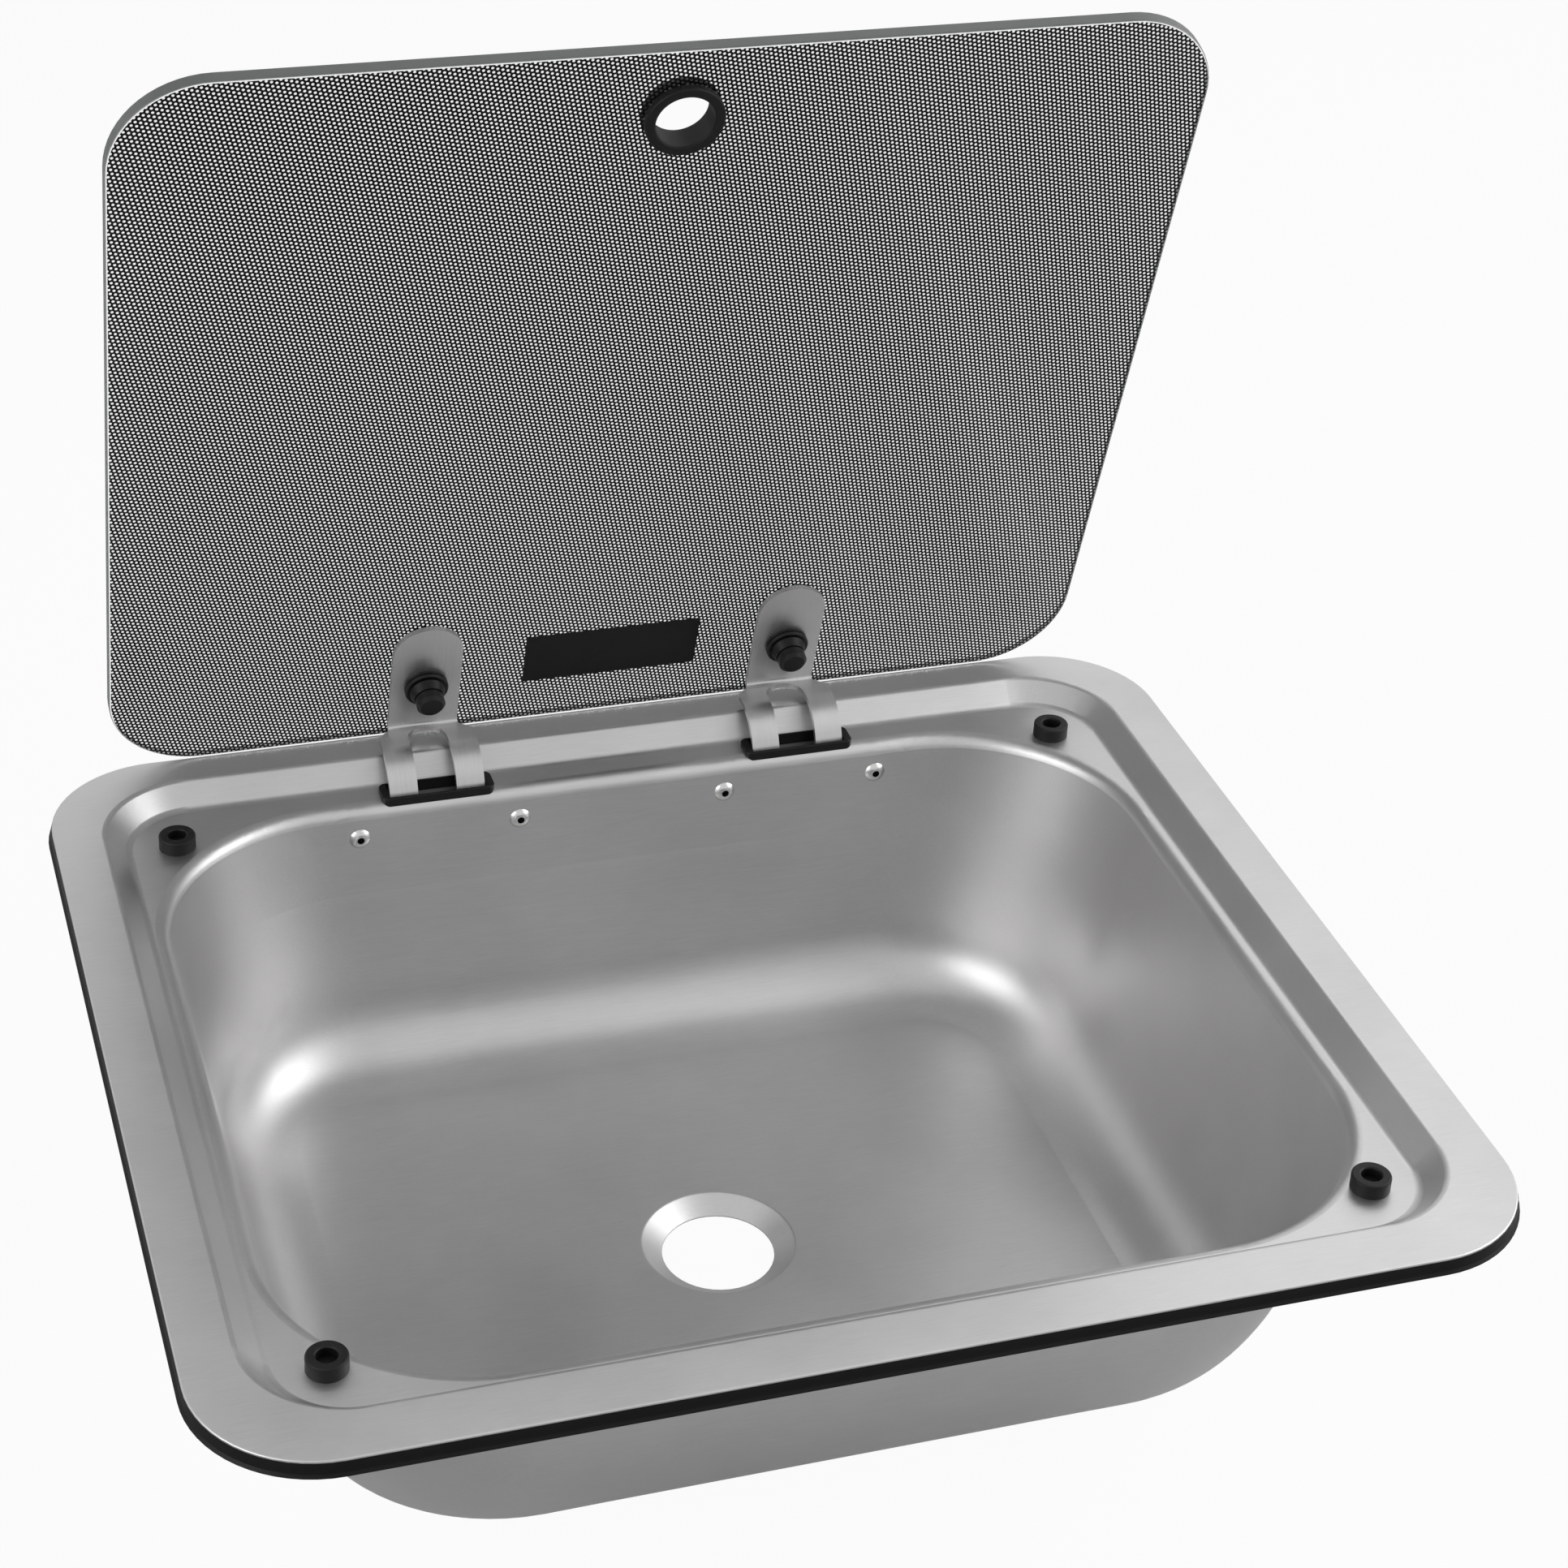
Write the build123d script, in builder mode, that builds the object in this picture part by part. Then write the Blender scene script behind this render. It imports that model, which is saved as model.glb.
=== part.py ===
from build123d import *
import math
import os

os.makedirs("parts", exist_ok=True)

# Drop-in sink with a hinged glass lid, modelled with the lid fully open.
# Millimetres. Origin: centre of the rim, on its top face. X right, Y rear, Z up.

NEAR = 0.01            # tolerance when picking faces by height
SPARE = 4.0            # how far cutting bodies run past the faces they cut

# Sheet and rim
SHEET = 0.8
RIM_W = 420.0
RIM_D = 370.0
RIM_R = 40.0
EDGE_ROUND = 0.5

# Sloped recess around the bowl
RIM_SIDE = 17.6        # width of the flat rim, edge to inner crease
RIM_FRONT = 19.5
RIM_REAR = 14.5
CREASE_X = RIM_W / 2 - RIM_SIDE
CREASE_FRONT = RIM_FRONT - RIM_D / 2
CREASE_REAR = RIM_D / 2 - RIM_REAR
CREASE_R = 33.0
CREASE_BEND = 2.5
LEDGE = 8.0            # depth of the ledge
LEDGE_BEND = 3.5
SLOPE_RUN = 8.0        # level width of the slope at the sides and rear
SLOPE_RUN_FRONT = 6.8

# Bowl walls, given where they would meet the ledge without the rounded lip
SIDE_IN = 13.9         # from the crease to the wall
FRONT_IN = 13.4
REAR_IN = 22.1
WALL_X = CREASE_X - SIDE_IN
WALL_FRONT = CREASE_FRONT + FRONT_IN
WALL_REAR = CREASE_REAR - REAR_IN
WALL_R = 65.5
LIP_BEND = 5.0
FLOOR = 117.5          # depth of the bowl's floor
FLOOR_R = 76.6         # corner radius of the walls where they would meet the floor
SIDE_DRAFT = math.radians(10.7)
SIDE_BEND = 27.6
FRONT_DRAFT = math.radians(5.2)
FRONT_BEND = 80.0
REAR_BEND = 30.0
BEND_STEPS = 12

# Drain
DRAIN_Y = 10.0
DRAIN_TOP_R = 27.25
DRAIN_R = 20.0
DRAIN_DROP = 4.8
DRAIN_LIP = 0.4        # straight part below the cone
DRAIN_BEND = 1.5

# Rubber pads on the corner platforms
PAD_SIDE_IN = 25.4     # from the crease to the pad's middle
PAD_REAR_IN = 30.5
PAD_FRONT_IN = 26.5
PAD_X = CREASE_X - PAD_SIDE_IN
PAD_REAR = CREASE_REAR - PAD_REAR_IN
PAD_FRONT = CREASE_FRONT + PAD_FRONT_IN
PAD_R = 6.5
PAD_H = 5.2
PAD_HOLE_R = 3.3
PAD_HOLE_H = 3.4
PAD_ROUND = 0.7
STEM_R = 3.0
BARB_R = 4.0
BARB_H = 3.2
BARB_TIP_R = 2.0
STEM_GAP = 0.05

# Hinge axis and its two places along the lid
HINGE_IN = 109.0       # middle of a hinge, from the bowl's side wall
HINGE_X = WALL_X - HINGE_IN
AXIS_BACK = 27.6       # behind the bowl's rear wall
AXIS_Y = WALL_REAR + AXIS_BACK
AXIS_Z = -15.5

# Lid, placed by the lower edge of its underside; closed, it lies in the recess
OPEN = math.radians(107.0)
LID_BACK = 8.5         # lower edge of the open lid, behind the axis
LID_Y = AXIS_Y + LID_BACK
LID_Z = 0.3
LID_GAP = 7.9          # from the crease to the lid's side edge
LID_W = 2 * (CREASE_X - LID_GAP)
LID_SHORT = 25.0       # how much shorter the lid is than the recess
LID_H = CREASE_REAR - CREASE_FRONT - LID_SHORT
LID_R = 33.5
GLASS = 5.0
GLASS_ROUND = 0.7
GRIP_DOWN = 27.0       # finger hole, from the free edge
GRIP_S = LID_H - GRIP_DOWN
GRIP_HOLE_R = 11.4
GRIP_R = 10.0
GRIP_FLANGE_R = 13.5
GRIP_UNDER_H = 3.0
GRIP_OUTER_H = 1.6
GROMMET_GAP = 0.05
GROMMET_ROUND = 0.7

# Hinge straps
STRAP = 2.0
STRAP_W = 35.5
GASKET = 1.0
GASKET_INSET = 0.8     # from the tongue's edge
TONGUE_W = 26.0
TONGUE_TOP = 57.4
TONGUE_FROM = 8.0      # the tongue is cut to its own width from here up
SCREW_S = 27.7
FLANGE_Z = 5.3         # top face of the strap's level part
SHOULDER_BACK = 2.5    # narrow end of the shoulders, behind the axis
SHOULDER_RUN = 4.0
SHOULDER_TOP = AXIS_Y + SHOULDER_BACK
SHOULDER_Y = SHOULDER_TOP - SHOULDER_RUN
SHOULDER_ROUND = 2.2
SLANT = math.radians(24.8)
SLANT_BACK = 10.0      # a point on the slanted part's front face, behind the wall
SLANT_Y = WALL_REAR + SLANT_BACK
SLANT_Z = 3.5
ARM_GAP = 14.5
GAP_FORE = 5.0         # middle of the gap's round top, before the axis
GAP_Y = AXIS_Y - GAP_FORE
TONGUE_BEND = 2.5
UPPER_BEND = 15.0
LOWER_BEND = 4.0
EYE_TURN = 285.0

# Slot bezels
SLOT_SIDE_GAP = 0.4    # from the strap's side to the slot's end
SLOT_W = STRAP_W + 2 * SLOT_SIDE_GAP
BEZEL_SIDE = 2.85      # width of the frame at the slot's ends
BEZEL_W = SLOT_W + 2 * BEZEL_SIDE
BEZEL_BACK = 1.5       # front edge, behind the wall
BEZEL_D = 11.1
BEZEL_FRAME = 1.0      # width of the frame before and behind the slot
BEZEL_FRONT = WALL_REAR + BEZEL_BACK
BEZEL_REAR = BEZEL_FRONT + BEZEL_D
BEZEL_CORNER = 2.75
BEZEL_H = 2.0
BEZEL_ROUND = 0.45
SLOT_FRONT = BEZEL_FRONT + BEZEL_FRAME
SLOT_REAR = BEZEL_REAR - BEZEL_FRAME
SKIRT = 0.6
SKIRT_END = 1.2
SKIRT_H = 2.5
SKIRT_GAP = 0.05
CUT_LAP = 0.5          # how far the bezel hides the sheet's cut
CUT_FRONT = SLOT_FRONT - CUT_LAP

# Hinge pin and its clip
PIN_R = 2.5
PIN_GAP = 0.05
PIN_HEAD_R = 4.0
PIN_HEAD = 1.5
GROOVE_R = 1.95
CLIP = 0.8
CLIP_R = 4.2
CLIP_MOUTH = 3.3
CLIP_GAP = 0.02
PIN_TAIL = 1.6

# Bracket behind the bowl's rear wall
PLATE = 1.5
EYE_GAP = 0.5          # from the strap's eye to an ear
EAR_IN = STRAP_W / 2 + EYE_GAP
FLANGE_END = 38.0
FLANGE_TOP = -13.4     # also the top of an ear where it meets the wall
FLANGE_BOTTOM = -28.0
FLANGE_CORNER = 3.0
EAR_STEP_BACK = 1.5    # behind the slot
EAR_STEP_Y = SLOT_REAR + EAR_STEP_BACK
EAR_ROUND = 6.5
STOP_GAP = 0.05

# Rivets
RIVET_DX = 30.0
RIVET_Z = -20.7
RIVET_R = 2.0
RIVET_HEAD_R = 4.0
RIVET_HEAD = 1.4
RIVET_FLAT = 0.5       # flat ring of the head round its hole
RIVET_HOLE_R = 1.35
RIVET_HOLE_H = 2.2
RIVET_BULB_R = 3.1
RIVET_BULB = 4.0
RIVET_GAP = 0.05

# Torsion spring round the pin
WIRE_R = 0.8
COIL_R = 3.8
COIL_PITCH = 2.2
COIL_TURNS = 4
SPRING_GAP = 0.05
FIXED_LEG = 11.6       # reach of the legs before the axis
LOOSE_LEG = 12.0
FIXED_LEG_Y = AXIS_Y - FIXED_LEG
LOOSE_LEG_Y = AXIS_Y - LOOSE_LEG
LOOSE_LEG_X = 15.5
LOOSE_BEND = 2.4

# Screws through the glass
SCREW_R = 2.5
SCREW_GAP = 0.02
SCREW_IN_NUT = 7.0
GLASS_HOLE_R = 5.0
SLEEVE_GAP = 0.05
HEAD_R = 9.0
HEAD_H = 3.0
HEAD_ROUND = 0.9
SLOT_CUT = 1.2
WASHER_R = 9.6
WASHER = 1.0

# Cap nuts on the straps
NUT_FLANGE_R = 8.1
NUT_FLANGE = 2.6
NUT_GROOVE = 0.5
NUT_NECK_R = 4.9
NUT_NECK = 0.6         # height of the narrow neck below the cap
NUT_BODY_R = 6.6       # tapered body, at the flange
NUT_BODY_END_R = 5.5
NUT_BODY = 3.2
NUT_R = 5.3
NUT_H = 11.0
NUT_CHAMFER = 1.2

# Seal under the rim
SEAL_IN = 11.0
SEAL_LOW = 5.8
SEAL_FLARE = 1.3
SEAL_LIP = 2.6
SEAL_POCKET = 4.4
SEAL_EDGE = 0.1        # outer face, beyond the rim's edge
SEAL_RIB = 0.4
SEAL_RIB_H = 1.6

bend_height = FRONT_BEND * (1 - math.sin(FRONT_DRAFT))
BOWL_LEVELS = [FLOOR - LEDGE] + [bend_height * (1 - math.cos(math.pi / 2 * i / BEND_STEPS))
                                 for i in range(BEND_STEPS, -1, -1)]

up_lid = Vector(0, math.cos(OPEN), math.sin(OPEN))
under_lid = Vector(0, -math.sin(OPEN), math.cos(OPEN))
lid_plane = Plane(origin=(0, LID_Y, LID_Z), x_dir=(1, 0, 0), z_dir=under_lid)


def on_lid(x, s, out):
    """Point x across, s up the lid and out from its underside."""
    return Vector(x, LID_Y, LID_Z) + up_lid * s + under_lid * out


def wall_at(top, draft, bend, height, depth):
    """Distance of a wall from the centre planes, height above the floor, and its loss to the bend."""
    def straight(level):
        return top - (FLOOR + depth - level - LEDGE) * math.tan(draft) + depth / math.cos(draft)
    radius = bend + depth
    if height >= radius * (1 - math.sin(draft)):
        return straight(height), 0.0
    centre = straight(radius) - radius / math.cos(draft)
    place = centre + math.sqrt(radius ** 2 - (radius - height) ** 2)
    return place, straight(height) - place


def bowl_section(height, depth):
    """Outline of the bowl at a height above its floor."""
    half, side_loss = wall_at(WALL_X, SIDE_DRAFT, SIDE_BEND, height, depth)
    front, front_loss = wall_at(-WALL_FRONT, FRONT_DRAFT, FRONT_BEND, height, depth)
    rear, rear_loss = wall_at(WALL_REAR, 0, REAR_BEND, height, depth)
    share = height / (FLOOR - LEDGE)
    corner = FLOOR_R + (WALL_R - FLOOR_R) * share + depth - (side_loss + front_loss) / 2
    with Locations((0, (rear - front) / 2)):
        return RectangleRounded(2 * half, rear + front, corner)


def pressed_form(depth, slab_w, slab_d, slab_r, slab_top):
    """Solid whose lower skin lies `depth` behind the sheet's upper skin."""
    with BuildPart() as form:
        with BuildSketch(Plane.XY.offset(-depth)):
            RectangleRounded(slab_w, slab_d, slab_r)
        extrude(amount=slab_top + depth)
        # sloped recess
        for z in (-depth, -(LEDGE + depth)):
            grow, grow_front = (z * run / LEDGE + depth * math.hypot(1, run / LEDGE)
                                for run in (SLOPE_RUN, SLOPE_RUN_FRONT))
            front = CREASE_FRONT - grow_front
            rear = CREASE_REAR + grow
            with BuildSketch(Plane.XY.offset(z)):
                with Locations((0, (front + rear) / 2)):
                    RectangleRounded(2 * (CREASE_X + grow), rear - front, CREASE_R + grow)
        loft()
        # bowl: flat walls above, bends of different size below
        for count, height in enumerate(BOWL_LEVELS):
            with BuildSketch(Plane.XY.offset(height - FLOOR - depth)):
                bowl_section(height, depth)
            if count == 1:
                loft(ruled=True)
                with BuildSketch(Plane.XY.offset(height - FLOOR - depth)):
                    bowl_section(height, depth)
        loft()
        # conical drain recess
        run = (DRAIN_TOP_R - DRAIN_R) / DRAIN_DROP
        for below in (depth, DRAIN_DROP + DRAIN_LIP):
            with BuildSketch(Plane.XY.offset(-(FLOOR + below))):
                with Locations((0, DRAIN_Y)):
                    Circle(DRAIN_TOP_R - below * run + depth * math.hypot(1, run))
        loft()
        # bends of the sheet
        floor_face = form.faces().filter_by_position(Axis.Z, -FLOOR - depth - NEAR, -FLOOR - depth + NEAR)[0]
        fillet(floor_face.inner_wires()[0].edges(), DRAIN_BEND - depth)
        ledge_face = form.faces().filter_by_position(Axis.Z, -LEDGE - depth - NEAR, -LEDGE - depth + NEAR)[0]
        fillet(ledge_face.inner_wires()[0].edges(), LIP_BEND - depth)
        ledge_face = form.faces().filter_by_position(Axis.Z, -LEDGE - depth - NEAR, -LEDGE - depth + NEAR)[0]
        fillet(ledge_face.outer_wire().edges(), LEDGE_BEND + depth)
        rim_face = form.faces().filter_by_position(Axis.Z, -depth - NEAR, -depth + NEAR)[0]
        fillet(rim_face.inner_wires()[0].edges(), CREASE_BEND - depth)
    return form.part


def turned(plane, outline):
    """Solid turned about the plane's y axis; the outline lists (radius, height)."""
    with BuildPart() as body:
        with BuildSketch(plane):
            with BuildLine():
                Polyline(*outline, close=True)
            make_face()
        revolve(axis=Axis(plane.origin, plane.y_dir))
    return body.part


def screw_plane(cx):
    """Plane with its y axis out of the lid's underside along a strap screw."""
    return Plane(origin=on_lid(cx, SCREW_S, 0), x_dir=(1, 0, 0), z_dir=-up_lid)


def finish(piece, name):
    """Names a piece and writes its file."""
    piece.label = name
    export_step(piece, f"parts/{name}.step")


# Sink: one pressed sheet
with BuildPart() as sink_bowl:
    add(pressed_form(SHEET, RIM_W, RIM_D, RIM_R, SPARE))
    add(pressed_form(0, RIM_W + SPARE, RIM_D + SPARE, RIM_R, 2 * SPARE), mode=Mode.SUBTRACT)
    rim_top = sink_bowl.faces().filter_by_position(Axis.Z, -NEAR, NEAR)[0]
    fillet(rim_top.outer_wire().edges(), EDGE_ROUND)
    # drain hole
    with BuildSketch(Plane.XY.offset(-FLOOR - DRAIN_DROP - SPARE)):
        with Locations((0, DRAIN_Y)):
            Circle(DRAIN_R)
    extrude(amount=2 * SPARE, mode=Mode.SUBTRACT)
    # pad holes
    with BuildSketch(Plane.XY.offset(-LEDGE - SPARE)):
        with Locations(*[(x, y) for x in (-PAD_X, PAD_X) for y in (PAD_FRONT, PAD_REAR)]):
            Circle(STEM_R + STEM_GAP)
    extrude(amount=2 * SPARE, mode=Mode.SUBTRACT)
    # hinge slots: narrow over the lip, wide where the bezel's skirt passes
    slot_middle = (CUT_FRONT + SLOT_REAR) / 2
    skirt_front = WALL_REAR + LIP_BEND
    skirt_rear = SLOT_REAR + SKIRT + SKIRT_GAP
    with BuildSketch(Plane.XY.offset(-LEDGE - LIP_BEND)):
        with Locations(*[(x, slot_middle) for x in (-HINGE_X, HINGE_X)]):
            Rectangle(SLOT_W, SLOT_REAR - CUT_FRONT)
        with Locations(*[(x, (skirt_front + skirt_rear) / 2) for x in (-HINGE_X, HINGE_X)]):
            Rectangle(SLOT_W + 2 * (SKIRT_END + SKIRT_GAP), skirt_rear - skirt_front)
    extrude(amount=2 * LIP_BEND, mode=Mode.SUBTRACT)
    # rivet holes
    with BuildSketch(Plane.XZ.offset(-WALL_REAR - SPARE)):
        with Locations(*[(x + dx, RIVET_Z) for x in (-HINGE_X, HINGE_X) for dx in (-RIVET_DX, RIVET_DX)]):
            Circle(RIVET_R + RIVET_GAP)
    extrude(amount=2 * SPARE, mode=Mode.SUBTRACT)
finish(sink_bowl.part, "sink_bowl")

# Seal: swept round the rim, top face against the rim's underside
with BuildSketch() as rim_outline:
    RectangleRounded(RIM_W, RIM_D, RIM_R)
seal_path = rim_outline.sketch.faces()[0].outer_wire()
seal_start = seal_path @ 0
seal_along = seal_path % 0
down = Vector(0, 0, -1)
seal_out = down.cross(seal_along)
if seal_out.dot(seal_start) < 0:
    seal_along = -seal_along
    seal_out = -seal_out
with BuildPart() as rim_seal:
    # sketch plane: x outward from the rim's edge, y downward
    with BuildSketch(Plane(origin=seal_start, x_dir=seal_out, z_dir=seal_along)):
        with BuildLine():
            Polyline(
                (-SEAL_IN, SHEET),
                (SEAL_EDGE, SHEET),
                (SEAL_EDGE + SEAL_RIB, SHEET + SEAL_RIB_H),
                (SEAL_EDGE, SHEET + SEAL_RIB_H + SEAL_RIB),
                (SEAL_EDGE + SEAL_RIB, SEAL_POCKET),
                (SEAL_FLARE, SEAL_LOW - SEAL_RIB),
                (SEAL_FLARE - SEAL_RIB, SEAL_LOW),
                (-SEAL_LIP, SEAL_LOW),
                (-SEAL_LIP, SEAL_POCKET),
                (-SEAL_IN + SEAL_LIP, SEAL_POCKET),
                (-SEAL_IN + SEAL_LIP, SEAL_LOW),
                (-SEAL_IN, SEAL_LOW),
                close=True,
            )
        make_face()
    sweep(path=seal_path)
finish(rim_seal.part, "rim_seal")

# Rubber pads: blind ring on the ledge, stem through the sheet, barb below
for side, x in (("left", -PAD_X), ("right", PAD_X)):
    for place, y in (("rear", PAD_REAR), ("front", PAD_FRONT)):
        with BuildPart() as pad:
            with BuildSketch(Plane.XY.offset(-LEDGE)):
                with Locations((x, y)):
                    Circle(PAD_R)
            extrude(amount=PAD_H)
            with BuildSketch(Plane.XY.offset(-LEDGE + PAD_H - PAD_HOLE_H)):
                with Locations((x, y)):
                    Circle(PAD_HOLE_R)
            extrude(amount=PAD_HOLE_H, mode=Mode.SUBTRACT)
            pad_top = pad.faces().sort_by(Axis.Z)[-1]
            fillet(pad_top.edges(), PAD_ROUND)
            with BuildSketch(Plane.XY.offset(-LEDGE)):
                with Locations((x, y)):
                    Circle(STEM_R)
            extrude(amount=-SHEET - STEM_GAP)
            with BuildSketch(Plane.XY.offset(-LEDGE - SHEET - STEM_GAP)):
                with Locations((x, y)):
                    Circle(BARB_R)
            with BuildSketch(Plane.XY.offset(-LEDGE - SHEET - STEM_GAP - BARB_H)):
                with Locations((x, y)):
                    Circle(BARB_TIP_R)
            loft()
        finish(pad.part, f"pad_{place}_{side}")

# Glass lid
with BuildPart() as glass_lid:
    with BuildSketch(lid_plane.offset(-GLASS)):
        with Locations((0, LID_H / 2)):
            RectangleRounded(LID_W, LID_H, LID_R)
        with Locations((0, GRIP_S)):
            Circle(GRIP_HOLE_R, mode=Mode.SUBTRACT)
        with Locations((-HINGE_X, SCREW_S), (HINGE_X, SCREW_S)):
            Circle(GLASS_HOLE_R, mode=Mode.SUBTRACT)
    extrude(amount=GLASS)
    broad_faces = glass_lid.faces().sort_by(SortBy.AREA)[-2:]
    fillet([e for f in broad_faces for e in f.outer_wire().edges()], GLASS_ROUND)
finish(glass_lid.part, "glass_lid")

# Grommet of the finger hole, flanged on both faces of the glass
grip_plane = Plane(origin=on_lid(0, GRIP_S, 0), x_dir=(1, 0, 0), z_dir=-up_lid)
sleeve_r = GRIP_HOLE_R - GROMMET_GAP
with BuildPart() as finger_grommet:
    add(turned(grip_plane, [
        (GRIP_R, -GLASS - GRIP_OUTER_H),
        (GRIP_FLANGE_R, -GLASS - GRIP_OUTER_H),
        (GRIP_FLANGE_R, -GLASS),
        (sleeve_r, -GLASS),
        (sleeve_r, 0),
        (GRIP_FLANGE_R, 0),
        (GRIP_FLANGE_R, GRIP_UNDER_H),
        (GRIP_R, GRIP_UNDER_H),
    ]))
    rims = [e for e in finger_grommet.edges().filter_by(GeomType.CIRCLE)
            if abs(abs((e.arc_center - grip_plane.origin).dot(grip_plane.y_dir) + GLASS / 2)
                   - GLASS / 2) > NEAR]
    fillet(rims, GROMMET_ROUND)
finish(finger_grommet.part, "finger_grommet")


def strap_centre_line():
    """Middle line of a strap from the tongue's top to the end of its eye."""
    eye_r = PIN_R + PIN_GAP + STRAP / 2
    level = FLANGE_Z - STRAP / 2
    middle = GASKET + STRAP / 2
    top = on_lid(0, TONGUE_TOP, middle)
    at_level = on_lid(0, 0, middle)
    at_level += up_lid * ((level - at_level.Z) / up_lid.Z)
    slant_y = SLANT_Y + STRAP / 2 / math.cos(SLANT)
    upper = (level - SLANT_Z) * math.tan(SLANT) + slant_y
    leg = AXIS_Z - eye_r
    lower = (leg - SLANT_Z) * math.tan(SLANT) + slant_y
    corners = [top, at_level, Vector(0, upper, level), Vector(0, lower, leg), Vector(0, AXIS_Y, leg)]
    with BuildLine() as middle_line:
        start = corners[0]
        for before, corner, after, radius in zip(corners, corners[1:], corners[2:],
                                                 (TONGUE_BEND, UPPER_BEND, LOWER_BEND)):
            into = (corner - before).normalized()
            away = (after - corner).normalized()
            reach = radius * math.tan(math.radians(into.get_angle(away)) / 2)
            Line(start, corner - into * reach)
            TangentArc(corner - into * reach, corner + away * reach, tangent=into)
            start = corner + away * reach
        Line(start, corners[-1])
        turn = math.radians(EYE_TURN)
        eye = [Vector(0, AXIS_Y + eye_r * math.sin(turn * k), AXIS_Z - eye_r * math.cos(turn * k))
               for k in (0.25, 0.5, 0.75, 1)]
        ThreePointArc(corners[-1], eye[0], eye[1])
        ThreePointArc(eye[1], eye[2], eye[3])
    return Wire(middle_line.line.edges(), sequenced=True)


def hinge_strap(cx):
    """Strap bent from sheet: tongue, level part, two arms through the slot and rolled eyes."""
    path = strap_centre_line()
    with BuildPart() as strap:
        with BuildSketch(Plane(origin=(path @ 0) + Vector(cx, 0, 0), x_dir=(1, 0, 0), z_dir=path % 0)):
            Rectangle(STRAP_W, STRAP)
        sweep(path=path.moved(Location((cx, 0, 0))))
        # round-ended tongue
        with BuildSketch(lid_plane.offset(GASKET / 2)):
            with Locations((cx, (TONGUE_TOP + SPARE + TONGUE_FROM) / 2)):
                Rectangle(STRAP_W + SPARE, TONGUE_TOP + SPARE - TONGUE_FROM)
            with Locations((cx, (TONGUE_TOP - TONGUE_W / 2) / 2)):
                Rectangle(TONGUE_W, TONGUE_TOP - TONGUE_W / 2, mode=Mode.SUBTRACT)
            with Locations((cx, TONGUE_TOP - TONGUE_W / 2)):
                Circle(TONGUE_W / 2, mode=Mode.SUBTRACT)
            with Locations((cx, SCREW_S)):
                Circle(SCREW_R + SCREW_GAP)
        extrude(amount=STRAP + GASKET, mode=Mode.SUBTRACT)
        # shoulders
        half = STRAP_W / 2
        neck = TONGUE_W / 2
        with BuildSketch(Plane.XY.offset(STRAP / 2)) as sides:
            for way in (-1, 1):
                with BuildLine():
                    Polyline(
                        (cx + way * neck, LID_Y),
                        (cx + way * neck, SHOULDER_TOP),
                        (cx + way * half, SHOULDER_Y),
                        (cx + way * half, GAP_Y),
                        (cx + way * (half + SPARE), GAP_Y),
                        (cx + way * (half + SPARE), LID_Y),
                        close=True,
                    )
                make_face()
            inner = [v for v in sides.vertices()
                     if GAP_Y + NEAR < v.Y < LID_Y - NEAR and abs(v.X - cx) < half + NEAR]
            fillet(inner, SHOULDER_ROUND)
        extrude(amount=TONGUE_FROM + SPARE, mode=Mode.SUBTRACT)
        # gap between the arms, round at its top
        with BuildSketch(Plane.XY.offset(STRAP / 2)):
            with Locations((cx, GAP_Y - SPARE)):
                Rectangle(ARM_GAP, 2 * SPARE)
            with Locations((cx, GAP_Y)):
                Circle(ARM_GAP / 2)
        extrude(amount=FLANGE_Z, mode=Mode.SUBTRACT)
        with BuildSketch(Plane.YZ.offset(cx - ARM_GAP / 2)):
            with Locations(((WALL_REAR + GAP_Y) / 2, AXIS_Z)):
                Rectangle(GAP_Y - WALL_REAR, 2 * (FLANGE_Z - AXIS_Z))
            with Locations((AXIS_Y, AXIS_Z)):
                Circle(PIN_R + STRAP + SPARE)
        extrude(amount=ARM_GAP, mode=Mode.SUBTRACT)
    return strap.part


def strap_gasket(cx):
    """Rubber between strap and glass, with a sleeve through the glass."""
    with BuildPart() as gasket:
        with BuildSketch(lid_plane):
            with Locations((cx, (SCREW_S / 2 + TONGUE_TOP - TONGUE_W / 2) / 2)):
                Rectangle(TONGUE_W - 2 * GASKET_INSET, TONGUE_TOP - TONGUE_W / 2 - SCREW_S / 2)
            with Locations((cx, TONGUE_TOP - TONGUE_W / 2)):
                Circle(TONGUE_W / 2 - GASKET_INSET)
        extrude(amount=GASKET)
        with BuildSketch(lid_plane):
            with Locations((cx, SCREW_S)):
                Circle(GLASS_HOLE_R - SLEEVE_GAP)
        extrude(amount=-GLASS)
        with BuildSketch(lid_plane.offset(-GLASS)):
            with Locations((cx, SCREW_S)):
                Circle(SCREW_R + SCREW_GAP)
        extrude(amount=GLASS + GASKET, mode=Mode.SUBTRACT)
    return gasket.part


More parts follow.
